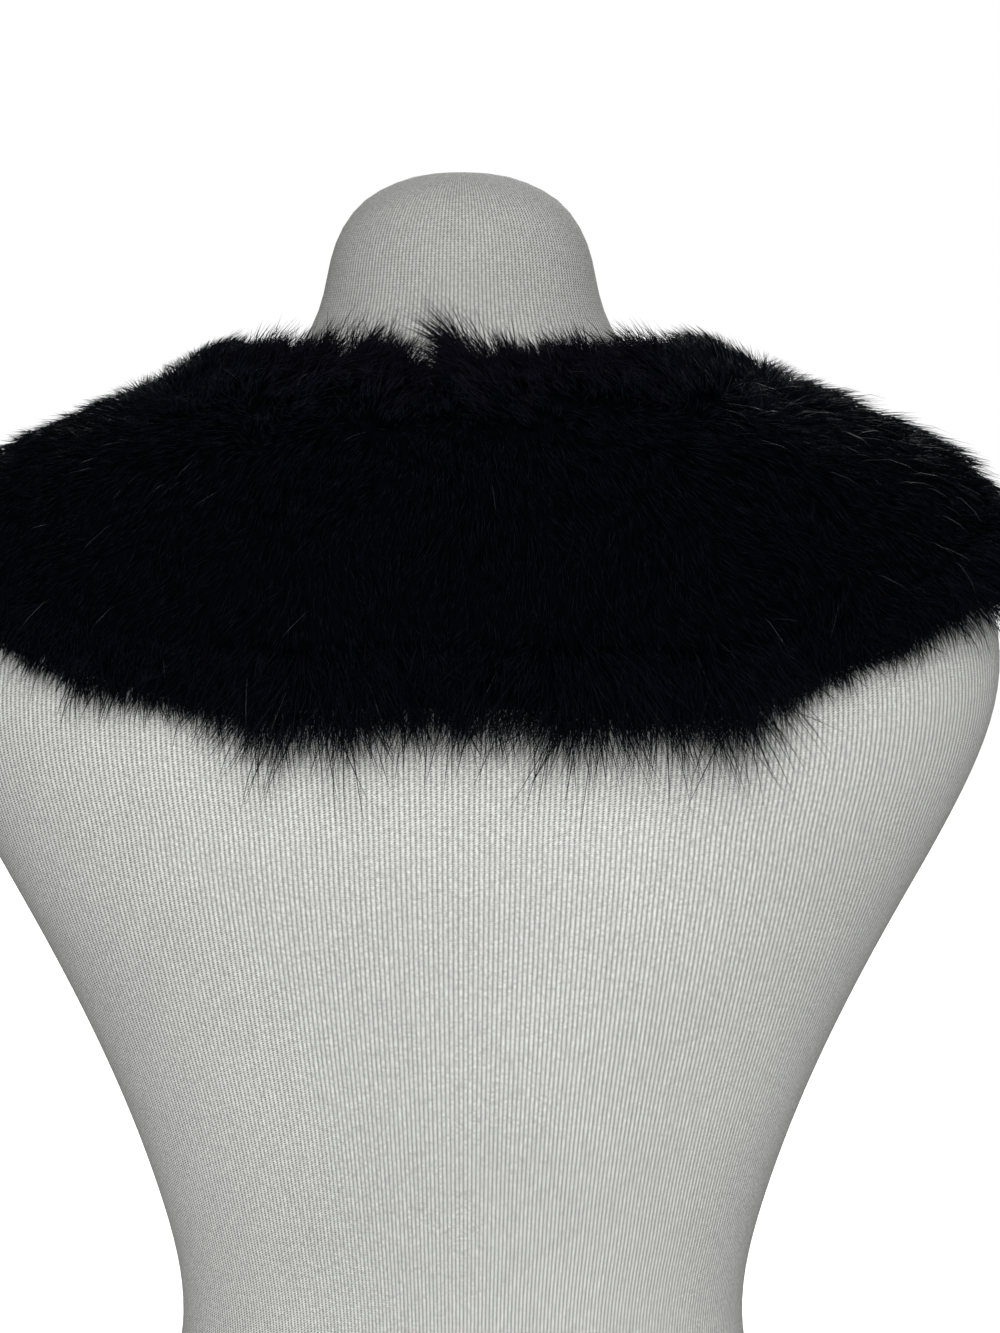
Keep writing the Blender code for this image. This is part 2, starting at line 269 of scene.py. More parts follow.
# each rib sways from side to side with its stitches, and a hole opens in the groove
# between two rows; grooves, holes and the gaps between stitches are painted dark as shade
sway = math_node(nodes, links, "SINE", course_phase)
swaying = math_node(nodes, links, "MULTIPLY_ADD", sway, RIB_SWAY, wale_phase)
valley = math_node(nodes, links, "COSINE", swaying)
valley = math_node(nodes, links, "MULTIPLY_ADD", valley, -0.5, 0.5)
valley = math_node(nodes, links, "POWER", valley, 1.6)
stitch = math_node(nodes, links, "COSINE", course_phase)
hole = math_node(nodes, links, "MULTIPLY_ADD", stitch, 0.36, 0.64)
dip = math_node(nodes, links, "MULTIPLY", valley, hole)
shoulder = math_node(nodes, links, "MULTIPLY_ADD", stitch, -0.09, 0.09)
rise = math_node(nodes, links, "SUBTRACT", 1.0, math_node(nodes, links, "MAXIMUM", dip, shoulder))
where = nodes.new("ShaderNodeTexCoord")
cloud = nodes.new("ShaderNodeTexNoise")
cloud.inputs["Scale"].default_value = 9
cloud.inputs["Detail"].default_value = 4
links.new(where.outputs["Object"], cloud.inputs["Vector"])
fuzz = nodes.new("ShaderNodeTexNoise")
fuzz.inputs["Scale"].default_value = 900
fuzz.inputs["Detail"].default_value = 2
links.new(where.outputs["Object"], fuzz.inputs["Vector"])
# the rib's relief sets both the bump and the colour: grooves, holes and gaps between stitches are
# painted shade
yarn_and_painted_shade = mix_colours(nodes, links, rise, GROOVE_SHADE_COLOUR, RIDGE_COLOUR)
shade = nodes.new("ShaderNodeMapRange")
shade.inputs["From Min"].default_value = 0.3
shade.inputs["From Max"].default_value = 0.7
shade.inputs["To Min"].default_value = 0.94
shade.inputs["To Max"].default_value = 1.04
links.new(cloud.outputs["Fac"], shade.inputs["Value"])
grain = nodes.new("ShaderNodeMapRange")
grain.inputs["From Min"].default_value = 0.3
grain.inputs["From Max"].default_value = 0.7
grain.inputs["To Min"].default_value = 0.76
grain.inputs["To Max"].default_value = 1.20
links.new(fuzz.outputs["Fac"], grain.inputs["Value"])
tone = math_node(nodes, links, "MULTIPLY", shade.outputs[0], grain.outputs[0])
# above the foot of the neck the knit is darkened to two thirds of its brightness
place = nodes.new("ShaderNodeSeparateXYZ")
links.new(where.outputs["Object"], place.inputs[0])
neck_darkening = nodes.new("ShaderNodeMapRange")
neck_darkening.inputs["From Min"].default_value = NECK_FOOT - 0.01
neck_darkening.inputs["From Max"].default_value = NECK_FOOT + 0.02
neck_darkening.inputs["To Min"].default_value = 1.0
neck_darkening.inputs["To Max"].default_value = 0.66
links.new(place.outputs[2], neck_darkening.inputs["Value"])
tone = math_node(nodes, links, "MULTIPLY", tone, neck_darkening.outputs[0])
links.new(mix_colours(nodes, links, 1.0, yarn_and_painted_shade, tone, "MULTIPLY"), shader.inputs["Base Color"])
bump = nodes.new("ShaderNodeBump")
bump.inputs["Strength"].default_value = 0.5
bump.inputs["Distance"].default_value = 0.0004
links.new(rise, bump.inputs["Height"])
links.new(bump.outputs[0], shader.inputs["Normal"])
form.data.materials.append(jersey)
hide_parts("form_torso")
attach(form, "root")

# -------------------------------------------------------------------------- the hides
# The skins of the six pelts: dyed suede about 1.5 mm thick with the fur outwards, cut to
# a crescent and whip-stitched end to end. They lie on the jersey at the foot of the neck
# and over the shoulders, and hang free below the shoulder blades and on the chest.

HIDE_CLEARANCE = 0.0018
HIDE_THICKNESS = 0.0015
SEAM_GAP = 0.0003
END_ROUNDING = 0.045

# along the strip, angle and height of its neck edge, angle and height of its hem
LEFT_STRIP = np.array([
    [0.00, 0.0, 0.643, 0.0, 0.522],  # centre back
    [0.18, 38.0, 0.643, 30.0, 0.526],
    [0.34, 70.0, 0.642, 58.0, 0.556],
    [0.48, 98.0, 0.641, 89.0, 0.573],  # top of the shoulder
    [0.61, 124.0, 0.629, 111.0, 0.543],
    [0.72, 148.0, 0.596, 124.0, 0.488],
    [0.82, 167.0, 0.541, 134.0, 0.432],
    [0.91, 174.3, 0.470, 139.5, 0.385],
    [1.00, 175.2, 0.398, 143.5, 0.343],  # end
    [1.08, 175.2, 0.350, 146.0, 0.312],
])
STRIP = np.concatenate([LEFT_STRIP[:0:-1] * [-1, -1, 1, -1, 1], LEFT_STRIP])

# name, start and end along the strip, and the flat width, length and area of the cut
PELTS = [
    ("front_right", -1.00, -0.62, 0.154, 0.325, 0.0361),
    ("shoulder_right", -0.62, -0.29, 0.154, 0.155, 0.0147),
    ("back_right", -0.29, 0.00, 0.154, 0.190, 0.0212),
    ("back_left", 0.00, 0.29, 0.154, 0.190, 0.0212),
    ("shoulder_left", 0.29, 0.62, 0.154, 0.155, 0.0147),
    ("front_left", 0.62, 1.00, 0.154, 0.325, 0.0361),
]


def hang(along, share):
    """How far the hide stands off the jersey beyond its clearance."""
    side = np.exp(-(((np.abs(along) - 0.5) / 0.16) ** 2))
    neck = 0.0030 * np.clip(1 - share / 0.35, 0, 1.3) ** 2
    free = (0.0020 + 0.0040 * side) * np.clip((share - 0.55) / 0.45, 0, 1.2) ** 2
    ripple = 0.0012 * np.sin(23 * along + 0.8) * np.clip(share, 0, 1) ** 2
    return neck + free + ripple * (np.abs(along) < 0.9)


def on_strip(along, share, lift):
    """Points at `lift` above the leather side, at shares across from neck edge to hem."""
    neck_angle, neck_height, hem_angle, hem_height = np.moveaxis(
        spline(STRIP[:, 0], STRIP[:, 1:], along), -1, 0
    )
    neck_level, hem_level = level_at(neck_height), level_at(hem_height)
    angle = neck_angle + share * (hem_angle - neck_angle)
    level = neck_level + share * (hem_level - neck_level)
    return off_form(angle, level, HIDE_CLEARANCE + hang(along, share) + lift)


strip_places = np.linspace(-1.06, 1.06, 213)
strip_shares = np.linspace(0, 1, 41)
strip_net = on_strip(*np.broadcast_arrays(strip_places[:, None], strip_shares[None, :], 0.0))
strip_widths = np.linalg.norm(np.diff(strip_net, axis=1), axis=2).sum(1)
left_half = strip_net[106:207, 20]
HALF_LENGTH = float(np.linalg.norm(np.diff(left_half, axis=0), axis=1).sum())


def width_at(along):
    return np.interp(along, strip_places, strip_widths)


def end_inset(along, end, radius):
    """How far the edges draw in towards the rounded end of the strip at `end`."""
    length = radius / HALF_LENGTH
    into = np.clip((np.abs(along) - (end - length)) / length, 0, 1)
    return radius * (1 - np.sqrt(1 - into**2))


suede, nodes, links, shader = principled("hide_suede", 0.85, 0.2)
shader.inputs["Sheen Weight"].default_value = 0.15
where = nodes.new("ShaderNodeTexCoord")
nap = nodes.new("ShaderNodeTexNoise")
nap.inputs["Scale"].default_value = 160
nap.inputs["Detail"].default_value = 6
links.new(where.outputs["Object"], nap.inputs["Vector"])
colour = mix_colours(
    nodes, links, nap.outputs["Fac"], (0.028, 0.024, 0.022, 1), (0.062, 0.052, 0.047, 1)
)
links.new(colour, shader.inputs["Base Color"])
bump = nodes.new("ShaderNodeBump")
bump.inputs["Strength"].default_value = 0.35
bump.inputs["Distance"].default_value = 0.0004
links.new(nap.outputs["Fac"], bump.inputs["Height"])
links.new(bump.outputs[0], shader.inputs["Normal"])

for name, start, end, flat_width, flat_length, flat_area in PELTS:
    half_gap = SEAM_GAP / 2 / HALF_LENGTH
    start += half_gap * (start > -1)
    end -= half_gap * (end < 1)
    hide = unit_grid("skin_" + name, round((end - start) * HALF_LENGTH / 0.006), 24)
    bpy.ops.mesh.extrude_region_move(TRANSFORM_OT_translate={"value": (0, 0, 1)})
    bpy.ops.object.mode_set(mode="OBJECT")
    plan = vertices_of(hide)
    along = start + plan[:, 0] * (end - start)
    width = width_at(along)
    inset = end_inset(along, 1, END_ROUNDING)
    share = (inset + plan[:, 1] * (width - 2 * inset)) / width
    move_vertices(hide, on_strip(along, share, plan[:, 2] * HIDE_THICKNESS))
    bpy.ops.object.mode_set(mode="EDIT")
    bpy.ops.mesh.select_all(action="SELECT")
    bpy.ops.mesh.normals_make_consistent(inside=False)
    bpy.ops.object.mode_set(mode="OBJECT")
    bpy.ops.object.shade_smooth_by_angle(angle=math.radians(50))
    hide.data.materials.append(suede)
    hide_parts("hide_" + name)
    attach(hide, "root")

# ---------------------------------------------------------------------------- the fur
# Dense near-black rabbit-type fur, one coat to each pelt: a thick soft undercoat and
# finer, longer hairs that lie in locks. It is combed up at the neck edge and down and
# outwards to the hem, and a few coarse guard hairs are painted light grey as glints.

FUR_FLOOR = HIDE_THICKNESS + SEAM_GAP
UNDERCOAT_SHARE = 0.62  # of the fur's full depth
UNDERCOAT_ROUNDING = 0.024
UNDERCOAT_REACH = 0.12  # of the fur's reach past the edges of the hide
END_REACH = 0.014

# along the strip, reach past the neck edge and past the hem, depth
FUR_REACH = np.array([
    [-1.00, 0.012, 0.014, 0.017],
    [-0.81, 0.014, 0.017, 0.020],
    [-0.62, 0.012, 0.013, 0.018],  # seam
    [-0.45, 0.014, 0.014, 0.021],
    [-0.29, 0.011, 0.010, 0.018],  # seam
    [-0.13, 0.013, 0.021, 0.020],
    [0.00, 0.014, 0.013, 0.018],  # centre-back seam
    [0.12, 0.012, 0.016, 0.019],
    [0.20, 0.012, 0.009, 0.018],
    [0.29, 0.011, 0.010, 0.017],  # seam
    [0.45, 0.014, 0.014, 0.016],
    [0.62, 0.012, 0.013, 0.017],  # seam
    [0.81, 0.014, 0.017, 0.020],
    [1.00, 0.012, 0.014, 0.017],
])

# along the strip, length of the hairs at the neck edge, in the coat and at the hem
HAIR_LENGTHS = np.array([
    [-1.00, 0.018, 0.017, 0.018],
    [-0.62, 0.018, 0.017, 0.016],
    [-0.46, 0.019, 0.020, 0.016],
    [-0.40, 0.018, 0.018, 0.024],
    [-0.345, 0.014, 0.010, 0.021],
    [-0.27, 0.017, 0.015, 0.010],
    [-0.20, 0.020, 0.017, 0.012],
    [-0.14, 0.020, 0.018, 0.031],
    [-0.085, 0.021, 0.018, 0.029],
    [-0.03, 0.024, 0.018, 0.019],
    [0.00, 0.019, 0.018, 0.018],
    [0.03, 0.021, 0.018, 0.022],
    [0.083, 0.023, 0.018, 0.024],
    [0.12, 0.023, 0.017, 0.013],
    [0.17, 0.021, 0.016, 0.011],
    [0.24, 0.017, 0.014, 0.008],
    [0.30, 0.014, 0.011, 0.011],
    [0.45, 0.014, 0.013, 0.016],
    [0.62, 0.018, 0.016, 0.016],
    [1.00, 0.018, 0.017, 0.018],
])

NECK_EDGE, IN_COAT, HEM_EDGE = 1, 2, 3  # columns of HAIR_LENGTHS
HAIR_SLOT, GUARD_SLOT = 1, 2  # places in a pelt's list of materials, after its undercoat

# tufts and gaps at the neck edge of the back: along the strip, spread, gain in length, lean
NECK_TUFTS = [
    (-0.255, 0.030, 0.20, 0.10),
    (-0.200, 0.014, 0.12, 0.30),
    (-0.028, 0.019, 0.62, 0.16),
    (0.022, 0.020, -0.55, 0.00),
    (0.070, 0.018, 0.00, 0.45),
    (0.130, 0.018, 0.28, -0.20),
]
BIG_LOCK = 0.017
SMALL_LOCK = 0.0062
HEM_GAP = (-0.034, 0.017, 0.65)  # along the strip, spread, share of the hairs missing
PROUD = 0.004  # how far a hair may stand above the fur's plain reach
WIDEST = np.array([0.011, 0.008])  # how far a tip may pass the plain solids, along X and Y


def fur_reach(along):
    """Reach past the neck edge, reach past the hem and depth, at places along the strip."""
    return np.moveaxis(spline(FUR_REACH[:, 0], FUR_REACH[:, 1:], np.clip(along, -1, 1)), -1, 0)


def rounded(into, width):
    """A share of full height that rises in a round from a rim, over `width`."""
    return (1 - (1 - np.clip(into / width, 0, 1)) ** 2.4) ** 0.5


def lumps(along, across):
    """Soft swells of the coat, from about -1 to 1, at metres along and across the strip."""
    run = along * HALF_LENGTH
    total = 0
    for wave, heading, phase in ((0.052, 0.4, 0.3), (0.036, 2.1, 1.9), (0.027, 1.2, 4.0),
                                 (0.019, 2.8, 2.6), (0.015, 0.9, 5.1)):
        there = run * math.cos(heading) + across * math.sin(heading)
        total = total + np.sin(there * 2 * math.pi / wave + phase) * wave
    return total / 0.10


def undercoat_lift(along, across, width):
    """Height of the undercoat above the leather side, at metres across from the neck edge."""
    neck, hem, depth = fur_reach(along)
    from_rim = np.minimum(across + UNDERCOAT_REACH * neck, width + UNDERCOAT_REACH * hem - across)
    from_end = (1 - np.abs(along)) * HALF_LENGTH + UNDERCOAT_REACH * END_REACH
    rise = rounded(from_rim, UNDERCOAT_ROUNDING) * rounded(from_end, UNDERCOAT_ROUNDING)
    return FUR_FLOOR + 0.001 + depth * UNDERCOAT_SHARE * rise * (1 + 0.13 * lumps(along, across))


# One hair, from its root at height 0 to its tip at 1: a cone of three sides whose base
# is drawn down to a point. The longer fringe hairs have one more ring.
hair_forms = {}
for hair_name, extra_ring in (("coat", False), ("fringe", True)):
    bpy.ops.object.select_all(action="DESELECT")
    bpy.ops.mesh.primitive_cone_add(
        vertices=3, radius1=1, depth=0.62, end_fill_type="TRIFAN", location=(0, 0, 0.69)
    )
    bpy.ops.object.transform_apply(location=True)
    hair = bpy.context.object
    for vertex in hair.data.vertices:
        if math.hypot(vertex.co.x, vertex.co.y) < 0.01 and vertex.co.z < 0.5:
            vertex.co.z = 0
    if extra_ring:
        bpy.ops.object.mode_set(mode="EDIT")
        bpy.ops.mesh.select_all(action="SELECT")
        bpy.ops.mesh.bisect(plane_co=(0, 0, 0.72), plane_no=(0, 0, 1))
        bpy.ops.mesh.select_all(action="SELECT")
        bpy.ops.mesh.quads_convert_to_tris()
        bpy.ops.mesh.normals_make_consistent(inside=False)
        bpy.ops.object.mode_set(mode="OBJECT")
        for vertex in hair.data.vertices:
            if 0.6 < vertex.co.z < 0.9:
                vertex.co.xy *= 1.7
    hair.data.calc_loop_triangles()
    faces = np.array([t.vertices for t in hair.data.loop_triangles])
    hair_forms[hair_name] = vertices_of(hair), faces
    bpy.data.objects.remove(hair)


def strip_frame(along, across, width, lift):
    """Points on the strip and the directions there: outwards, on along it, towards the hem."""
    share = across / width
    here = on_strip(along, share, lift)
    on_along = unit(on_strip(along + 0.004, share, lift) - on_strip(along - 0.004, share, lift))
    to_hem = unit(on_strip(along, share + 0.01, lift) - on_strip(along, share - 0.01, lift))
    outward = unit(np.cross(on_along, to_hem))
    return here, outward, on_along, to_hem


def smooth_step(value, low, high):
    share = np.clip((value - low) / (high - low), 0, 1)
    return share * share * (3 - 2 * share)


def hair_batch(random, kind, along, across, length, width_mm):
    """Hairs as (form, roots, middles, tips, half widths, tones), drawn together in locks.

    A hair rises from the undercoat, bends over and lies along the coat. `along` is its
    root's place on the strip, and `across` is in metres from the neck edge of the hide.
    """
    strip_width = width_at(along)
    count = len(along)
    lift = undercoat_lift(along, across, strip_width) - 0.0015
    root, outward, on_along, to_hem = strip_frame(along, across, strip_width, lift)

    # the lie of the coat: towards the neck near the neck edge, else towards the hem
    run = along * HALF_LENGTH + 0.0035 * lumps(1.6 * along, across)
    share = across / strip_width

    # Locks of two sizes share a heading and draw their tips together. A hair belongs to the
    # cell of a square net that it is in, give or take, and the cell's own four numbers,
    # from 0 to 1, come from its place in the net mixed with large primes.
    def of_lock(size, seed):
        cell_a = np.floor((run + random.normal(0, 0.18, count) * size) / size + 0.5).astype(int)
        cell_c = np.floor((across + random.normal(0, 0.18, count) * size) / size + 0.5).astype(int)
        key = (cell_a * 73856093) ^ (cell_c * 19349663) ^ (seed * 83492791)
        values = [((key * p) % 100003) / 100003.0 for p in (7919, 104729, 1299709, 15485863)]
        return cell_a * size, cell_c * size, values

    big = of_lock(BIG_LOCK, 5)[2]
    lock_a, lock_c, small = of_lock(SMALL_LOCK, 11)
    parting = share + 0.08 * lumps(along, across) + 0.16 * (big[3] - 0.5)
    to_edge = smooth_step(parting, 0.04, 0.46) * 2 - 1
    side = np.tanh(along / 0.03)
    at_back = 1 - smooth_step(np.abs(along), 0.16, 0.34)
    inwards = -0.80 * side * at_back
    outwards = 0.42 * side * smooth_step(np.abs(along), 0.02, 0.2)
    sideways = np.where(to_edge < 0, inwards * -to_edge, outwards * to_edge)
    at_neck = smooth_step(-to_edge, -0.2, 0.9)
    at_hem = smooth_step(share, 0.80, 1.0)
    length = length * (1 + (0.32 + 0.30 * at_hem) * (big[2] - 0.5))
    length = length * (1 + (0.30 + 0.25 * at_hem) * (small[2] - 0.5))
    rise = np.radians(27 + 22 * at_neck * at_back - 9 * at_hem)
    end_pull = smooth_step(np.abs(along), 0.93, 1.01)
    for centre, spread, gain, lean in NECK_TUFTS:
        weight = np.exp(-(((along - centre) / spread) ** 2)) * at_neck
        length = length * (1 + gain * weight)
        sideways = sideways + lean * weight
    stray = 0.13 + 0.24 * at_hem + 0.08 * at_neck
    heading = (big[0] - 0.5) * 0.9 + (small[0] - 0.5) * 0.7 + random.normal(0, 1, count) * stray
    rise = rise + (big[1] - 0.5) * 0.36 + (small[1] - 0.5) * 0.35 + random.normal(0, 0.10, count)
    rise = np.clip(rise, 0.10, 1.35)

    flat = to_edge[:, None] * to_hem * (1 - end_pull)[:, None] + sideways[:, None] * on_along
    flat = flat + (end_pull * np.sign(along))[:, None] * on_along
    flat = flat * np.cos(heading)[:, None] + np.cross(outward, flat) * np.sin(heading)[:, None]
    flat = flat + random.normal(0, 0.06, (count, 1)) * on_along
    lie = unit(flat + outward * np.tan(rise)[:, None])
    upright = unit(flat + outward * np.tan(np.clip(rise + 0.45, 0, 1.4))[:, None])

    off_a = (lock_a + (small[3] - 0.5) * 0.003 - run)[:, None] * on_along
    off_c = (lock_c - across)[:, None] * to_hem
    pull = off_a + off_c
    tip = root + lie * length[:, None] + pull * (0.68 - 0.36 * at_hem)[:, None]
    tip[:, 2] -= 0.10 * length
    room = fur_reach(along)[2] * (1 - UNDERCOAT_SHARE) + PROUD + 0.02 * at_neck * at_back
    excess = np.clip(((tip - root) * outward).sum(1) - room, 0, None)
    tip -= 0.85 * excess[:, None] * outward
    low_corner, high_corner = np.array(cad_box)[:, :2]
    tip[:, :2] = np.clip(tip[:, :2], low_corner - WIDEST, high_corner + WIDEST)
    middle = root + upright * (0.55 * length)[:, None] + pull * 0.15
    middle -= 0.6 * excess[:, None] * outward
    tone = np.clip(0.7 * random.random(count) + 0.35 * at_neck * at_back, 0, 1)
    return kind, root, middle, tip, width_mm / 2000, tone


def add_hairs(piece, batches, random):
    """Adds batches of hairs to the piece's mesh, with a tone and a height on each point."""
    all_points, all_faces, all_tones, all_heights, all_slots = [], [], [], [], []
    offset = 0
    for kind, root, middle, tip, half_width, tone, slot_index in batches:
        form_points, form_faces = hair_forms[kind]
        at = form_points[:, 2][None, :, None]
        centre = root[:, None] * (1 - at) ** 2 + middle[:, None] * 2 * at * (1 - at)
        centre = centre + tip[:, None] * at**2
        run = unit(tip - root)
        side = unit(np.cross(run, random.normal(size=run.shape)))
        other = np.cross(run, side)
        spread = (
            form_points[:, 0][None, :, None] * side[:, None]
            + form_points[:, 1][None, :, None] * other[:, None]
        )
        points = centre + spread * np.asarray(half_width)[:, None, None]
        count, each = len(root), len(form_points)
        faces = form_faces[None] + np.arange(count)[:, None, None] * each + offset
        offset += count * each
        all_points.append(points.reshape(-1, 3))
        all_faces.append(faces.reshape(-1, 3))
        all_tones.append(np.repeat(tone, each))
        all_heights.append(np.tile(form_points[:, 2], count))
        all_slots.append(np.full(count * len(form_faces), slot_index))
    points = np.concatenate(all_points)
    faces = np.concatenate(all_faces)
    mesh = bpy.data.meshes.new("hairs")
    mesh.vertices.add(len(points))
    mesh.vertices.foreach_set("co", points.ravel())
    mesh.loops.add(faces.size)
    mesh.loops.foreach_set("vertex_index", faces.ravel().astype(np.int32))
    mesh.polygons.add(len(faces))
    mesh.polygons.foreach_set("loop_start", np.arange(0, faces.size, 3, dtype=np.int32))
    mesh.polygons.foreach_set("material_index", np.concatenate(all_slots).astype(np.int32))
    for material in piece.data.materials:
        mesh.materials.append(material)
    for attribute_name, values in (("tone", all_tones), ("height", all_heights)):
        attribute = mesh.attributes.new(attribute_name, "FLOAT", "POINT")
        attribute.data.foreach_set("value", np.concatenate(values))
    mesh.update(calc_edges=True)
    mesh.shade_smooth()
    hairs = bpy.data.objects.new("hairs", mesh)
    bpy.context.scene.collection.objects.link(hairs)
    bpy.ops.object.select_all(action="DESELECT")
    hairs.select_set(True)
    piece.select_set(True)
    bpy.context.view_layer.objects.active = piece
    bpy.ops.object.join()


undercoat, nodes, links, shader = principled("undercoat", 0.9, 0.02)
where = nodes.new("ShaderNodeTexCoord")
wool = nodes.new("ShaderNodeTexNoise")
wool.inputs["Scale"].default_value = 260
wool.inputs["Detail"].default_value = 5
links.new(where.outputs["Object"], wool.inputs["Vector"])
colour = mix_colours(
    nodes, links, wool.outputs["Fac"], (0.0003, 0.0008, 0.0018, 1), (0.0014, 0.0017, 0.0028, 1)
)
links.new(colour, shader.inputs["Base Color"])
bump = nodes.new("ShaderNodeBump")
bump.inputs["Strength"].default_value = 0.8
bump.inputs["Distance"].default_value = 0.002
links.new(wool.outputs["Fac"], bump.inputs["Height"])
links.new(bump.outputs[0], shader.inputs["Normal"])

hair_black, nodes, links, shader = principled("fur_hair", 0.42, 0.07)
shader.inputs["Specular Tint"].default_value = (0.55, 0.85, 1.0, 1)
tone = nodes.new("ShaderNodeAttribute")
tone.attribute_name = "tone"
height = nodes.new("ShaderNodeAttribute")
height.attribute_name = "height"
strand = mix_colours(
    nodes, links, tone.outputs["Fac"], (0.0003, 0.0014, 0.0042, 1), (0.0120, 0.0090, 0.0160, 1)
)
strand = mix_colours(nodes, links, height.outputs["Fac"], (0.0003, 0.0006, 0.0014, 1), strand)
links.new(strand, shader.inputs["Base Color"])

# coarse guard hairs with real gloss; their light grey colour is a painted glint
guard_glint, nodes, links, shader = principled("guard_hair_glint", 0.28, 0.35)
tone = nodes.new("ShaderNodeAttribute")
tone.attribute_name = "tone"
strand = mix_colours(
    nodes, links, tone.outputs["Fac"], (0.008, 0.010, 0.016, 1), (0.085, 0.088, 0.100, 1)
)
links.new(strand, shader.inputs["Base Color"])

# guard hairs with painted glints, in clusters: place along and across, spread along and across,
# many
GUARD_CLUSTERS = [
    (-0.44, 0.35, 0.015, 0.06, 8),
    (-0.37, 0.72, 0.040, 0.12, 32),
    (-0.31, 0.30, 0.025, 0.10, 20),
    (-0.25, 0.25, 0.025, 0.10, 14),
    (-0.155, 0.96, 0.020, 0.04, 22),
    (0.085, 0.96, 0.020, 0.04, 16),
    (0.22, 0.60, 0.040, 0.20, 10),
    (0.50, 0.50, 0.080, 0.25, 14),
]

# hairs in the coat, in the fringe at the neck edge and in the fringe at the hem
HAIR_COUNTS = {
    "back": (7600, 2700, 3400),
    "shoulder": (8800, 2200, 3200),
    "front": (12500, 1900, 2300),
}

for number, (name, start, end, *_) in enumerate(PELTS):
    random = np.random.default_rng(40 + number)
    half_gap = SEAM_GAP / 2 / HALF_LENGTH
    start += half_gap * (start > -1)
    end -= half_gap * (end < 1)
    reach = UNDERCOAT_REACH * END_REACH / HALF_LENGTH
    body_start = start - reach * (name == "front_right")
    body_end = end + reach * (name == "front_left")
    fur = unit_grid("fur_" + name, round((body_end - body_start) * HALF_LENGTH / 0.007), 26)
    bpy.ops.mesh.extrude_region_move(TRANSFORM_OT_translate={"value": (0, 0, 1)})
    bpy.ops.object.mode_set(mode="OBJECT")
    plan = vertices_of(fur)
    along = body_start + plan[:, 0] * (body_end - body_start)
    width = width_at(along)
    neck, hem, depth = fur_reach(along)
    inset = end_inset(along, 1 + reach, END_ROUNDING + UNDERCOAT_REACH * END_REACH)
    low_edge, high_edge = inset - UNDERCOAT_REACH * neck, width + UNDERCOAT_REACH * hem - inset
    across = low_edge + plan[:, 1] * (high_edge - low_edge)
    top = undercoat_lift(along, across, width)
    lift = FUR_FLOOR + plan[:, 2] * (top - FUR_FLOOR)
    move_vertices(fur, on_strip(along, across / width, lift))
    bpy.ops.object.mode_set(mode="EDIT")
    bpy.ops.mesh.select_all(action="SELECT")
    bpy.ops.mesh.normals_make_consistent(inside=False)
    bpy.ops.object.mode_set(mode="OBJECT")
    bpy.ops.object.shade_smooth_by_angle(angle=math.radians(60))
    for material in (undercoat, hair_black, guard_glint):
        fur.data.materials.append(material)

    in_coat, at_neck, at_hem = HAIR_COUNTS[name.split("_")[0]]

    # form, how many, where they root, the span of their roots across (in metres past the
    # edge, or as a share in the coat), their lengths as shares, their widths in mm, material
    batches = []
    for kind, many, place, low, high, short, long, thin, thick, finish in (
        ("coat", in_coat, IN_COAT, 0.0, 1.0, 0.85, 1.15, 0.30, 0.52, HAIR_SLOT),
        ("coat", at_neck, NECK_EDGE, -0.002, 0.014, 0.60, 0.85, 0.36, 0.58, HAIR_SLOT),
        ("fringe", at_neck, NECK_EDGE, -0.004, 0.012, 0.80, 1.25, 0.26, 0.44, HAIR_SLOT),
        ("coat", at_hem, HEM_EDGE, -0.015, 0.002, 0.55, 0.95, 0.38, 0.62, HAIR_SLOT),
        ("fringe", at_hem * 3 // 4, HEM_EDGE, -0.016, 0.002, 0.70, 1.20, 0.30, 0.48, HAIR_SLOT),
        ("fringe", at_hem // 4, HEM_EDGE, -0.014, 0.001, 1.00, 1.75, 0.32, 0.52, HAIR_SLOT),
        ("fringe", 16, IN_COAT, 0.02, 0.98, 1.0, 1.4, 0.16, 0.24, GUARD_SLOT),
    ):
        along = random.uniform(body_start, body_end, many)
        if place == HEM_EDGE:
            thin_out = HEM_GAP[2] * np.exp(-(((along - HEM_GAP[0]) / HEM_GAP[1]) ** 2))
            along = along[random.random(many) > thin_out]
            many = len(along)
        width = width_at(along)
        inset = end_inset(along, 1 + reach, END_ROUNDING + UNDERCOAT_REACH * END_REACH)
        off_edge = random.uniform(low, high, many)
        if place == NECK_EDGE:
            across = inset + off_edge
        elif place == HEM_EDGE:
            across = width - inset + off_edge
        else:
            across = inset + off_edge * (width - 2 * inset)
        length = np.interp(along, HAIR_LENGTHS[:, 0], HAIR_LENGTHS[:, place])
        length = length * random.uniform(short, long, many)
        width_mm = random.uniform(thin, thick, many)
        batch = hair_batch(random, kind, along, across, length, width_mm)
        batches.append((*batch, finish))
    for middle_along, middle_share, spread_along, spread_share, many in GUARD_CLUSTERS:
        if not start < middle_along < end:
            continue
        along = np.clip(random.normal(middle_along, spread_along, many), start + 0.01, end - 0.01)
        share = np.clip(random.normal(middle_share, spread_share, many), 0.02, 1.0)
        across = share * width_at(along)
        length = random.uniform(0.016, 0.027, many)
        width_mm = random.uniform(0.16, 0.28, many)
        batch = hair_batch(random, "fringe", along, across, length, width_mm)
        batches.append((*batch, GUARD_SLOT))
    add_hairs(fur, batches, random)
    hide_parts("pile_" + name)
    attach(fur, "root")

# ----------------------------------------------------------------------- the studio
# A round pale floor under the form, an even white surround, and two broad soft lights,
# one behind the form and one in front of it.

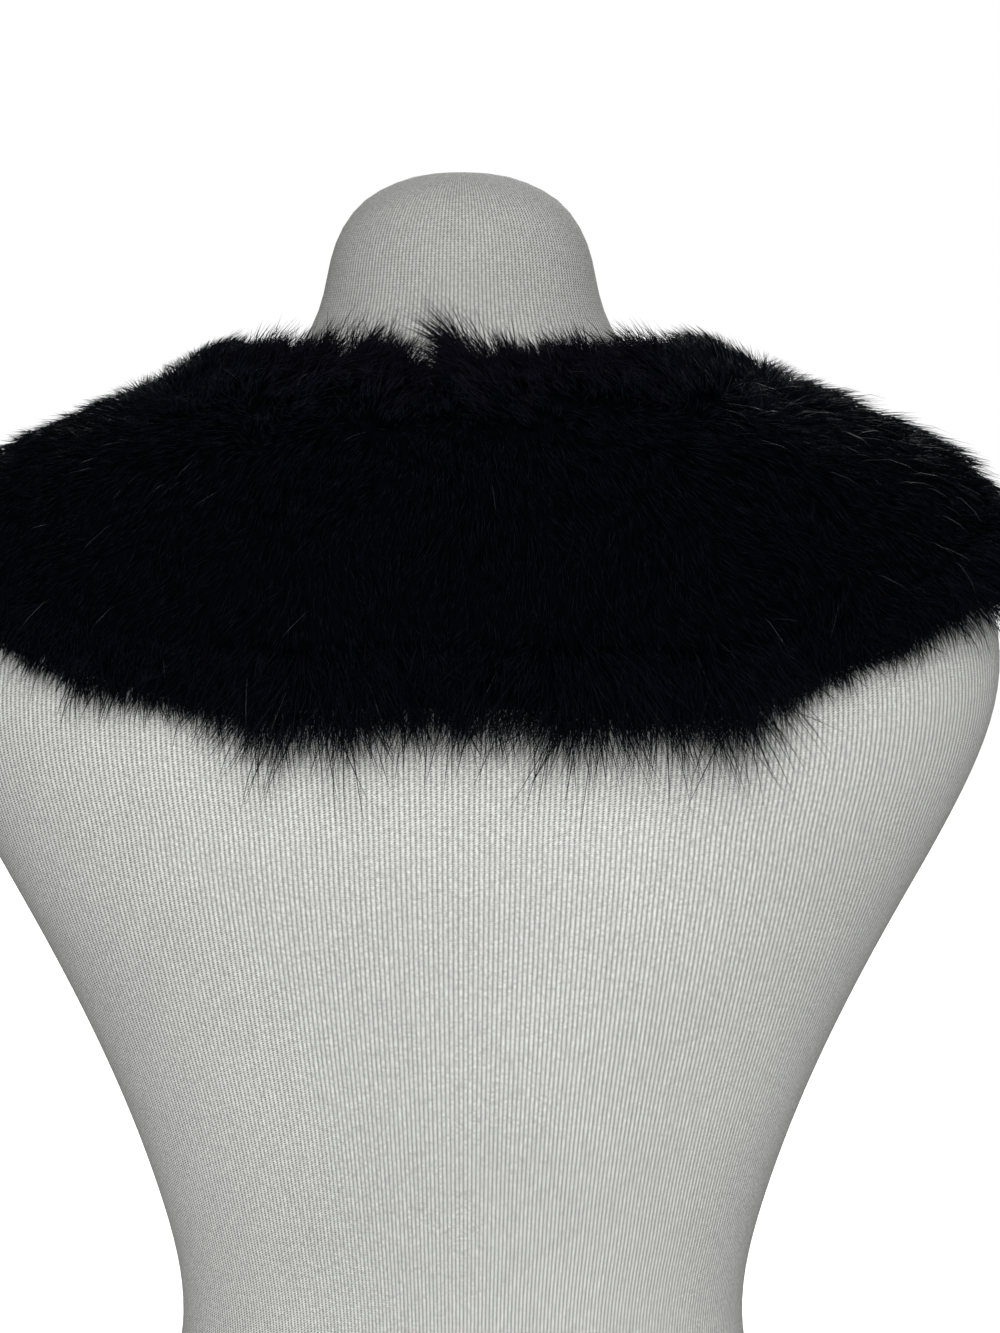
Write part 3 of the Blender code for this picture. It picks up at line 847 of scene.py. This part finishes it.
world = bpy.data.worlds.new("studio")
bpy.context.scene.world = world
world.use_nodes = True
nodes, links = world.node_tree.nodes, world.node_tree.links
nodes.clear()
out = nodes.new("ShaderNodeOutputWorld")
seen = nodes.new("ShaderNodeBackground")
seen.inputs["Color"].default_value = (1, 1, 1, 1)
seen.inputs["Strength"].default_value = 1.0
even = nodes.new("ShaderNodeBackground")
even.inputs["Color"].default_value = (0.97, 0.99, 1.0, 1)
even.inputs["Strength"].default_value = 0.22
path = nodes.new("ShaderNodeLightPath")
mixed = nodes.new("ShaderNodeMixShader")
links.new(path.outputs["Is Camera Ray"], mixed.inputs[0])
links.new(even.outputs[0], mixed.inputs[1])
links.new(seen.outputs[0], mixed.inputs[2])
links.new(mixed.outputs[0], out.inputs["Surface"])

bpy.ops.object.select_all(action="DESELECT")
bpy.ops.mesh.primitive_circle_add(
    vertices=128, radius=6, fill_type="TRIFAN", location=(0, 0, -0.0005)
)
floor = bpy.context.object
floor.name = "floor"
floor.visible_diffuse = False
floor.visible_glossy = False
pale, nodes, links, shader = principled("floor_pale", 0.9, 0.0)
shader.inputs["Base Color"].default_value = (0.85, 0.85, 0.85, 1)
shader.inputs["Emission Color"].default_value = (1, 1, 1, 1)
shader.inputs["Emission Strength"].default_value = 0.9
floor.data.materials.append(pale)

LIGHTS_AIM = (0, 0, 0.45)
for light_name, place, size, power in (
    ("softbox", (-0.10, 1.9, 1.2), 1.3, 32),
    ("fill", (-0.2, -2.2, 1.5), 1.8, 42),
):
    lamp = bpy.data.lights.new(light_name, "AREA")
    lamp.shape = "DISK"
    lamp.size = size
    lamp.energy = power
    holder = bpy.data.objects.new(light_name, lamp)
    bpy.context.scene.collection.objects.link(holder)
    holder.location = place
    aim = np.array(LIGHTS_AIM) - np.array(place)
    holder.rotation_euler = (
        math.atan2(math.hypot(aim[0], aim[1]), -aim[2]),
        0,
        math.atan2(aim[1], aim[0]) - math.pi / 2,
    )

CAMERA_PLACE = (-0.0426, 0.9981, 0.6417)
CAMERA_TURN = 0.0262  # from the centre line, in radians
CAMERA_TILT = 0.1190  # below level, in radians
camera = bpy.data.objects.new("camera", bpy.data.cameras.new("camera"))
bpy.context.scene.collection.objects.link(camera)
camera.data.lens = 61.84
camera.data.sensor_width = 36
camera.location = CAMERA_PLACE
camera.rotation_euler = (math.pi / 2 - CAMERA_TILT, 0, math.pi + CAMERA_TURN)
bpy.context.scene.camera = camera
bpy.context.scene.view_settings.view_transform = "Standard"
bpy.context.scene.view_settings.look = "None"
